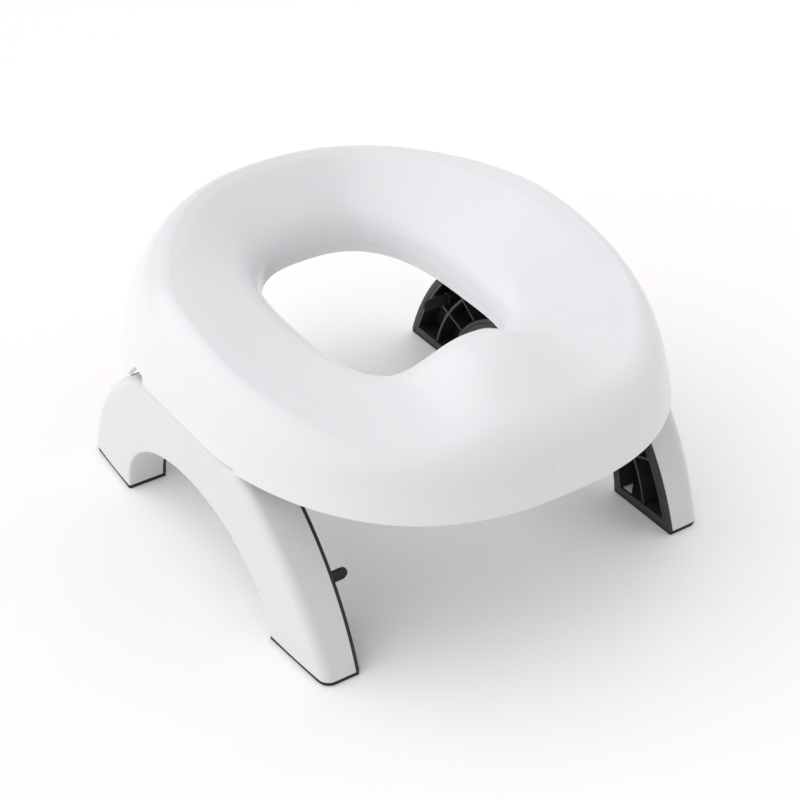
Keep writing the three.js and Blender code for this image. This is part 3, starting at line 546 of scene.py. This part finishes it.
def facing_out(piece):
    """Turns every face of a closed piece outward."""
    piece.data.update()
    corners = np.empty(len(piece.data.vertices) * 3)
    piece.data.vertices.foreach_get("co", corners)
    corners = corners.reshape(-1, 3)
    piece.data.calc_loop_triangles()
    triangles = np.empty(len(piece.data.loop_triangles) * 3, int)
    piece.data.loop_triangles.foreach_get("vertices", triangles)
    a, b, c = (corners[triangles.reshape(-1, 3)[:, k]] for k in range(3))
    if np.einsum("ij,ij->i", a, np.cross(b, c)).sum() < 0:
        piece.data.flip_normals()
    return piece


rubber = moulded_plastic("black_rubber", (0.014, 0.014, 0.014), (0.03, 0.029, 0.028), 0.5, 30,
                         (0.62, 0.8), grain=2200, depth=0.00004)
foot_arch, foot_outline = leg_curves(np.array([0.0, 0.0001]))
foot_face = face_x(np.stack([foot_arch[0], foot_outline[0]]))
reach_in, reach_out = foot_arch[0, 0] - LEG_Y, foot_outline[0, 0] - LEG_Y
bend = np.linspace(0, np.pi / 2, 12)
pad_outline = np.concatenate([
    np.stack([np.full(6, reach_in), np.linspace(PAD_INNER, foot_face[0] - 0.0008, 6)], axis=-1),
    np.stack([np.linspace(reach_in + 0.0008, reach_out - EDGE_ROUND, 10),
              np.linspace(foot_face[0], foot_face[1] + 0.0006, 10)], axis=-1),
    np.stack([reach_out - EDGE_ROUND * (1 - np.sin(bend)),
              foot_face[1] + 0.0003 - EDGE_ROUND * (1 - np.cos(bend))], axis=-1)[1:],
    np.stack([np.full(5, reach_out), np.linspace(foot_face[1] - EDGE_ROUND - 0.002, PAD_INNER, 5)], axis=-1),
    np.stack([np.linspace(reach_out - 0.002, reach_in + 0.002, 8), np.full(8, 0.0988)], axis=-1)])
for leg_name, leg_side in (("left", -1), ("right", 1)):
    for end_name, end in (("front", -1), ("rear", 1)):
        pad = slab(f"{leg_name}_{end_name}_sole", pad_outline, 0.0, PAD_THICKNESS, 0.0004,
                   lambda a, b, h: (leg_side * b, LEG_Y + end * a, h))
        facing_out(pad)
        smooth_by_angle(pad, 50)
        pad.data.materials.append(rubber)
        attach(pad, f"{leg_name}_leg")
        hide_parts(f"{leg_name}_foot_pad_{end_name}")

# ---- Bag tabs ----
# Small rubber fins, one by each foot, that stand out of the liner and pinch the bag's edge.
TAB_TIP, TAB_ROOT, TAB_LOW, TAB_HIGH, TAB_AT = 0.0855, 0.1020, 0.0345, 0.0415, 0.0915
fin_turn = np.linspace(-np.pi / 2, np.pi / 2, 25)
fin_half = (TAB_HIGH - TAB_LOW) / 2
fin_outline = np.concatenate([
    np.stack([TAB_TIP + fin_half - fin_half * np.cos(fin_turn),
              TAB_LOW + fin_half + fin_half * np.sin(fin_turn)], axis=-1),
    np.stack([np.linspace(TAB_TIP + fin_half + 0.001, TAB_ROOT, 8), np.full(8, TAB_HIGH)], axis=-1),
    np.stack([np.full(4, TAB_ROOT), np.linspace(TAB_HIGH - 0.002, TAB_LOW + 0.002, 4)], axis=-1),
    np.stack([np.linspace(TAB_ROOT, TAB_TIP + fin_half + 0.001, 8), np.full(8, TAB_LOW)], axis=-1)])
post_corners = np.array([[-0.0025, TAB_LOW], [0.0025, TAB_LOW], [0.0025, TAB_HIGH], [-0.0025, TAB_HIGH]])
corner_cuts = np.array([[0, 3], [3, 0], [-3, 0], [0, 3], [0, -3], [-3, 0], [3, 0], [0, -3]]) * 1e-4
post_outline = np.repeat(post_corners, 2, axis=0) + corner_cuts
for leg_name, leg_side in (("left", -1), ("right", 1)):
    for end_name, end in (("front", -1), ("rear", 1)):
        tab = slab(f"{leg_name}_{end_name}_fin", fin_outline, -0.001, 0.001, 0.0006,
                   lambda a, b, h: (leg_side * a, LEG_Y + end * TAB_AT + h, b))
        facing_out(tab)
        smooth_by_angle(tab, 50)
        tab.data.materials.append(rubber)
        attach(tab, f"{leg_name}_bag_tab_{end_name}")
        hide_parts(f"{leg_name}_bag_tab_{end_name}")
        post = slab(f"{leg_name}_{end_name}_tab_post",
                    post_outline, 0.1025, 0.1112, 0.0003,
                    lambda a, b, h: (leg_side * h, LEG_Y + end * TAB_AT + a, b))
        facing_out(post)
        smooth_by_angle(post, 40)
        post.data.materials.append(black_plastic)
        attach(post, f"{leg_name}_leg")

# ---- Hinge brackets ----
# White brackets screwed under the seat: a flange, two arms with eyes for the pin, and a web strip
# that fills the seat's notch.


def softened(node, name, radius):
    """Copy of a CAD node with its loose triangles merged, flat faces joined and sharp edges rounded."""
    piece = bpy.data.objects.new(name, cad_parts[node].data.copy())
    bpy.context.scene.collection.objects.link(piece)
    faces = bmesh.new()
    faces.from_mesh(piece.data)
    bmesh.ops.remove_doubles(faces, verts=faces.verts, dist=2e-6)
    bmesh.ops.dissolve_limit(faces, angle_limit=math.radians(0.5), verts=faces.verts, edges=faces.edges)
    faces.to_mesh(piece.data)
    faces.free()
    piece.data.materials.clear()
    round_edges = piece.modifiers.new("round", "BEVEL")
    round_edges.width, round_edges.segments = radius, 3
    round_edges.limit_method, round_edges.angle_limit = "ANGLE", math.radians(40)
    cut(piece)
    piece.data.shade_smooth()
    smooth_by_angle(piece, 30)
    return piece


satin_white = moulded_plastic("white_satin_plastic", (0.80, 0.80, 0.815), (0.75, 0.75, 0.77), 0.3, 16,
                              (0.32, 0.44), grain=1200, depth=0.00003)
for leg_name, leg_side in (("left", -1), ("right", 1)):
    bracket = softened(f"{leg_name}_hinge_bracket", f"{leg_name}_bracket", 0.0004)
    bracket.data.materials.append(satin_white)
    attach(bracket, "seat")
    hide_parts(f"{leg_name}_hinge_bracket")

# ---- Seat posts ----
# Round posts moulded under the dish: four take the bracket screws and two back the latch springs.


def post_under_dish(name, middle, radius, bottom):
    """Round post from a level up to the middle of the wall above it, which its top ring follows."""
    angle = np.linspace(0, 2 * np.pi, 40, endpoint=False)
    ring = np.stack([middle[0] + radius * np.cos(angle), middle[1] + radius * np.sin(angle)], axis=-1)
    dish = outer_skin[:, 6:58].reshape(-1, 3)
    nearest = np.argmin(np.linalg.norm(dish[None, :, :2] - ring[:, None], axis=-1), axis=1)
    top = dish[nearest, 2] - SEAT_WALL / 2
    low_ring = (ring - middle) * (1 - 0.0003 / radius) + middle
    levels = [np.full(40, bottom), np.full(40, bottom + 0.0003), top]
    plans = (low_ring, ring, ring)
    points = [np.concatenate([plan, level[:, None]], axis=-1) for plan, level in zip(plans, levels)]
    return grid_mesh(name, np.stack(points), wrap_u=False, flip=True, caps=True)


BRACKET_SCREW_X, BRACKET_SCREW_OFFSET, SPRING_X = 0.081, 0.022, 0.096
SCREW_POST, SPRING_POST = 0.0046, 0.0054
flange_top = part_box("left_latch_button")[1].z - 0.0034 - 0.0003
spring_low, spring_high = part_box("left_latch_spring")[0].z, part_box("left_latch_spring")[1].z
for leg_name, leg_side in (("left", -1), ("right", 1)):
    for end_name, end in (("front", -1), ("rear", 1)):
        middle = np.array([leg_side * BRACKET_SCREW_X, LEG_Y + end * BRACKET_SCREW_OFFSET])
        post = post_under_dish(f"{leg_name}_{end_name}_screw_post", middle, SCREW_POST, flange_top + 0.0003)
        cut(post, rod("z", 0.0022, (flange_top - 0.001, flange_top + 0.0125), middle))
        smooth_by_angle(post, 40)
        post.data.materials.clear()
        post.data.materials.append(white_plastic)
        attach(post, "seat")
    spring_post = post_under_dish(f"{leg_name}_spring_post", np.array([leg_side * SPRING_X, LEG_Y]),
                                  SPRING_POST, spring_high + 0.0003)
    smooth_by_angle(spring_post, 40)
    spring_post.data.materials.append(white_plastic)
    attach(spring_post, "seat")

# ---- Hinge pins ----
# A 5 mm steel pin each side, with chamfered ends, through both bracket arms and the leg's barrel.


def steel_finish(name, tint, gloss, scale):
    """Steel: stretched noise for drawn or turned marks, in its gloss and its bump."""
    material = bpy.data.materials.new(name)
    material.use_nodes = True
    tree = material.node_tree
    make, join, shader = tree.nodes.new, tree.links.new, tree.nodes["Principled BSDF"]
    place, marks, spread = make("ShaderNodeTexCoord"), make("ShaderNodeTexNoise"), make("ShaderNodeMapRange")
    bump, stretch = make("ShaderNodeBump"), make("ShaderNodeMapping")
    stretch.inputs["Scale"].default_value = scale
    marks.inputs["Scale"].default_value, marks.inputs["Detail"].default_value = 900, 4
    spread.inputs["To Min"].default_value, spread.inputs["To Max"].default_value = gloss
    bump.inputs["Distance"].default_value, bump.inputs["Strength"].default_value = 0.00002, 0.5
    shader.inputs["Base Color"].default_value = (*tint, 1)
    shader.inputs["Metallic"].default_value = 1.0
    join(place.outputs["Object"], stretch.inputs["Vector"])
    join(stretch.outputs["Vector"], marks.inputs["Vector"])
    join(marks.outputs["Fac"], spread.inputs["Value"])
    join(marks.outputs["Fac"], bump.inputs["Height"])
    join(spread.outputs["Result"], shader.inputs["Roughness"])
    join(bump.outputs["Normal"], shader.inputs["Normal"])
    return material


drawn_steel = steel_finish("drawn_steel", (0.62, 0.63, 0.64), (0.22, 0.38), (1, 0.04, 1))
plated_steel = steel_finish("plated_steel", (0.55, 0.56, 0.58), (0.25, 0.42), (1, 1, 1))
for leg_name, leg_side in (("left", -1), ("right", 1)):
    pin = rod("y", 0.0025, (LEG_Y - 0.046, LEG_Y + 0.046), (leg_side * HINGE_X, HINGE_Z), sides=48)
    pin.name = f"{leg_name}_pin"
    smooth_by_angle(pin, 30)
    pin.data.materials.append(drawn_steel)
    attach(pin, "seat")
    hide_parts(f"{leg_name}_hinge_pin")

# ---- Latch buttons ----
# Black buttons under the seat: a thumb paddle with grip grooves, an arm and a nose behind the barrel.
PADDLE_X, PADDLE_LOW = 0.0825, 0.097
for leg_name, leg_side in (("left", -1), ("right", 1)):
    button = softened(f"{leg_name}_latch_button", f"{leg_name}_button", 0.0005)
    cut(button, *[rod("y", 0.0005, (LEG_Y - 0.0075, LEG_Y + 0.0075), (leg_side * (PADDLE_X + at), PADDLE_LOW))
                  for at in (-0.002, 0, 0.002)])
    smooth_by_angle(button, 30)
    button.data.materials.clear()
    button.data.materials.append(black_plastic)
    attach(button, f"{leg_name}_latch")
    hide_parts(f"{leg_name}_latch_button")

# ---- Latch springs ----
# A 1 mm wire compression spring above each latch arm, with its end turns closed.
SPRING_RADIUS, SPRING_WIRE, SPRING_TURNS = 0.0034, 0.0005, 4.5


def coil(name, middle, levels, turns):
    """Tube along a helix whose pitch falls to nothing in the first and last half turn."""
    t = np.linspace(0, 1, 240)
    eased = np.cumsum(np.clip(np.minimum(t, 1 - t) * turns / 0.9, 0.12, 1))
    eased = (eased - eased[0]) / (eased[-1] - eased[0])
    angle = t * turns * 2 * np.pi
    height = levels[0] + SPRING_WIRE + (levels[1] - levels[0] - 2 * SPRING_WIRE) * eased
    around = np.linspace(0, 2 * np.pi, 14, endpoint=False)
    reach = SPRING_RADIUS + SPRING_WIRE * np.cos(around)[None, :]
    points = np.stack([middle[0] + reach * np.cos(angle)[:, None], middle[1] + reach * np.sin(angle)[:, None],
                       height[:, None] + SPRING_WIRE * np.sin(around)[None, :]], axis=-1)
    return grid_mesh(name, points, wrap_u=False, caps=True)


for leg_name, leg_side in (("left", -1), ("right", 1)):
    spring = coil(f"{leg_name}_spring", (leg_side * SPRING_X, LEG_Y), (spring_low, spring_high), SPRING_TURNS)
    facing_out(spring)
    spring.data.materials.append(plated_steel)
    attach(spring, "seat")
    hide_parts(f"{leg_name}_latch_spring")
    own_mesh(spring)

# ---- Screws ----
# Self-tapping screws with pan heads and crossed recesses: two larger ones up through each bracket,
# four smaller ones outward through each liner. Sizes: head radius, head height, shaft radius.
BRACKET_SCREW, BRACKET_PITCH = (0.0035, 0.0025, 0.0019), 0.0014
LINER_SCREW, LINER_PITCH = (0.0028, 0.0018, 0.0014), 0.0011


def screw(name, head_radius, head_height, shaft_radius, length, pitch, place):
    """Head and threaded shaft turned about an axis: the thread is a ridge whose phase runs on with the angle.

    Shaft radius = root + depth * max(0, cos(height / pitch turns - angle)) ^ 2, tapered at the tip."""
    angle = np.linspace(0, 2 * np.pi, 40, endpoint=False)[None, :]
    rise = np.linspace(0, np.pi / 2, 7)[1:, None]
    dome = 0.55 * head_radius + 0.45 * head_radius * np.sin(rise)
    head_r = np.concatenate([[[head_radius * 0.55]], dome, [[head_radius]]])
    head_h = np.concatenate([[[0.0]], head_height * 0.75 * (1 - np.cos(rise)), [[head_height]]])
    turns = np.linspace(0, 1, 140)[:, None]
    depth = shaft_radius * 0.22
    along = head_height + 0.00005 + length * turns
    phase = 2 * np.pi * along / pitch - angle
    taper = np.clip((1 - turns) / 0.18, 0.12, 1)
    start = np.clip(turns / 0.06, 0, 1)
    shaft_r = (shaft_radius - depth + depth * start * np.clip(np.cos(phase), 0, 1) ** 2) * taper
    radius = np.concatenate([head_r + 0 * angle, shaft_r])
    height = np.concatenate([head_h, along]) + 0 * angle
    points = place(radius * np.cos(angle), radius * np.sin(angle), height)
    piece = grid_mesh(name, np.stack(points, axis=-1), wrap_u=False, caps=True)
    return facing_out(piece)


def finish_screw(piece, recess, body, node):
    """Cuts the crossed recess, then gives the screw its steel and its body, and hides the CAD node it stands
    for.
    """
    cut(piece, *recess)
    smooth_by_angle(piece, 40)
    piece.data.materials.clear()
    piece.data.materials.append(plated_steel)
    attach(piece, body)
    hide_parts(node)


for leg_name, leg_side in (("left", -1), ("right", 1)):
    for end_name, end in (("front", -1), ("rear", 1)):
        node = f"{leg_name}_bracket_screw_{end_name}"
        low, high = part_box(node)
        x, y = leg_side * BRACKET_SCREW_X, LEG_Y + end * BRACKET_SCREW_OFFSET
        piece = screw(f"{leg_name}_{end_name}_bracket_bolt", *BRACKET_SCREW,
                      high.z - low.z - 0.0026, BRACKET_PITCH,
                      lambda a, b, h: (x + a, y + b, low.z + h))
        recess = [block((x - a, y - b, low.z - 0.001), (x + a, y + b, low.z + 0.0013))
                  for a, b in ((0.0019, 0.0004), (0.0004, 0.0019))]
        finish_screw(piece, recess, "seat", node)
        for offset, height, level in SCREW_PLACES:
            node = f"{leg_name}_liner_screw_{end_name}_{level}"
            low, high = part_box(node)
            y = LEG_Y + end * offset
            near = min(abs(low.x), abs(high.x))
            piece = screw(f"{leg_name}_{end_name}_{level}_liner_bolt", *LINER_SCREW,
                          high.x - low.x - 0.0019, LINER_PITCH,
                          lambda a, b, h: (leg_side * (near + h), y + a, height + b))
            recess = [block((leg_side * (near - 0.001), y - a, height - b),
                            (leg_side * (near + 0.001), y + a, height + b))
                      for a, b in ((0.0015, 0.0003), (0.0003, 0.0015))]
            finish_screw(piece, recess, f"{leg_name}_leg", node)

# ---- Stage ----
# A plain pale floor, a broad soft sun from the left, a weaker one from the right and a pale sky.
floor_x, floor_y = np.meshgrid(np.linspace(-4, 4, 9), np.linspace(-4, 4, 9))
floor_points = np.stack([floor_x, floor_y, 0 * floor_x], axis=-1)
floor = grid_mesh("floor", floor_points, wrap_u=False, wrap_v=False, flip=True)
floor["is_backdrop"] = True
pale = bpy.data.materials.new("pale_floor")
pale.use_nodes = True
pale.node_tree.nodes["Principled BSDF"].inputs["Base Color"].default_value = (0.98, 0.955, 0.95, 1)
pale.node_tree.nodes["Principled BSDF"].inputs["Roughness"].default_value = 0.6
floor.data.materials.append(pale)

sky = bpy.data.worlds.new("studio_sky")
bpy.context.scene.world = sky
sky.use_nodes = True
sky.node_tree.nodes["Background"].inputs["Color"].default_value = (1, 1, 1, 1)
sky.node_tree.nodes["Background"].inputs["Strength"].default_value = 0.50
key_data = bpy.data.lights.new("key", "SUN")
key_data.energy, key_data.angle = 2.0, math.radians(100)
key = bpy.data.objects.new("key", key_data)
key.rotation_euler = Vector((0.95, -0.40, -0.95)).to_track_quat("-Z", "Y").to_euler()
bpy.context.scene.collection.objects.link(key)
fill_data = bpy.data.lights.new("fill", "SUN")
fill_data.energy, fill_data.angle = 0.9, math.radians(100)
fill = bpy.data.objects.new("fill", fill_data)
fill.rotation_euler = Vector((-1.0, -0.05, -0.45)).to_track_quat("-Z", "Y").to_euler()
bpy.context.scene.collection.objects.link(fill)

camera_data = bpy.data.cameras.new("camera")
camera_data.sensor_width, camera_data.lens = 36, 92.4
camera = bpy.data.objects.new("camera", camera_data)
yaw, pitch = math.radians(33.86), math.radians(34.28)
look = Vector((math.sin(yaw) * math.cos(pitch), math.cos(yaw) * math.cos(pitch), -math.sin(pitch)))
camera.location = (-0.5030, -0.7537, 0.6773)
camera.rotation_euler = look.to_track_quat("-Z", "Y").to_euler()
bpy.context.scene.collection.objects.link(camera)
bpy.context.scene.camera = camera
bpy.context.scene.view_settings.view_transform = "Standard"

low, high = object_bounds()
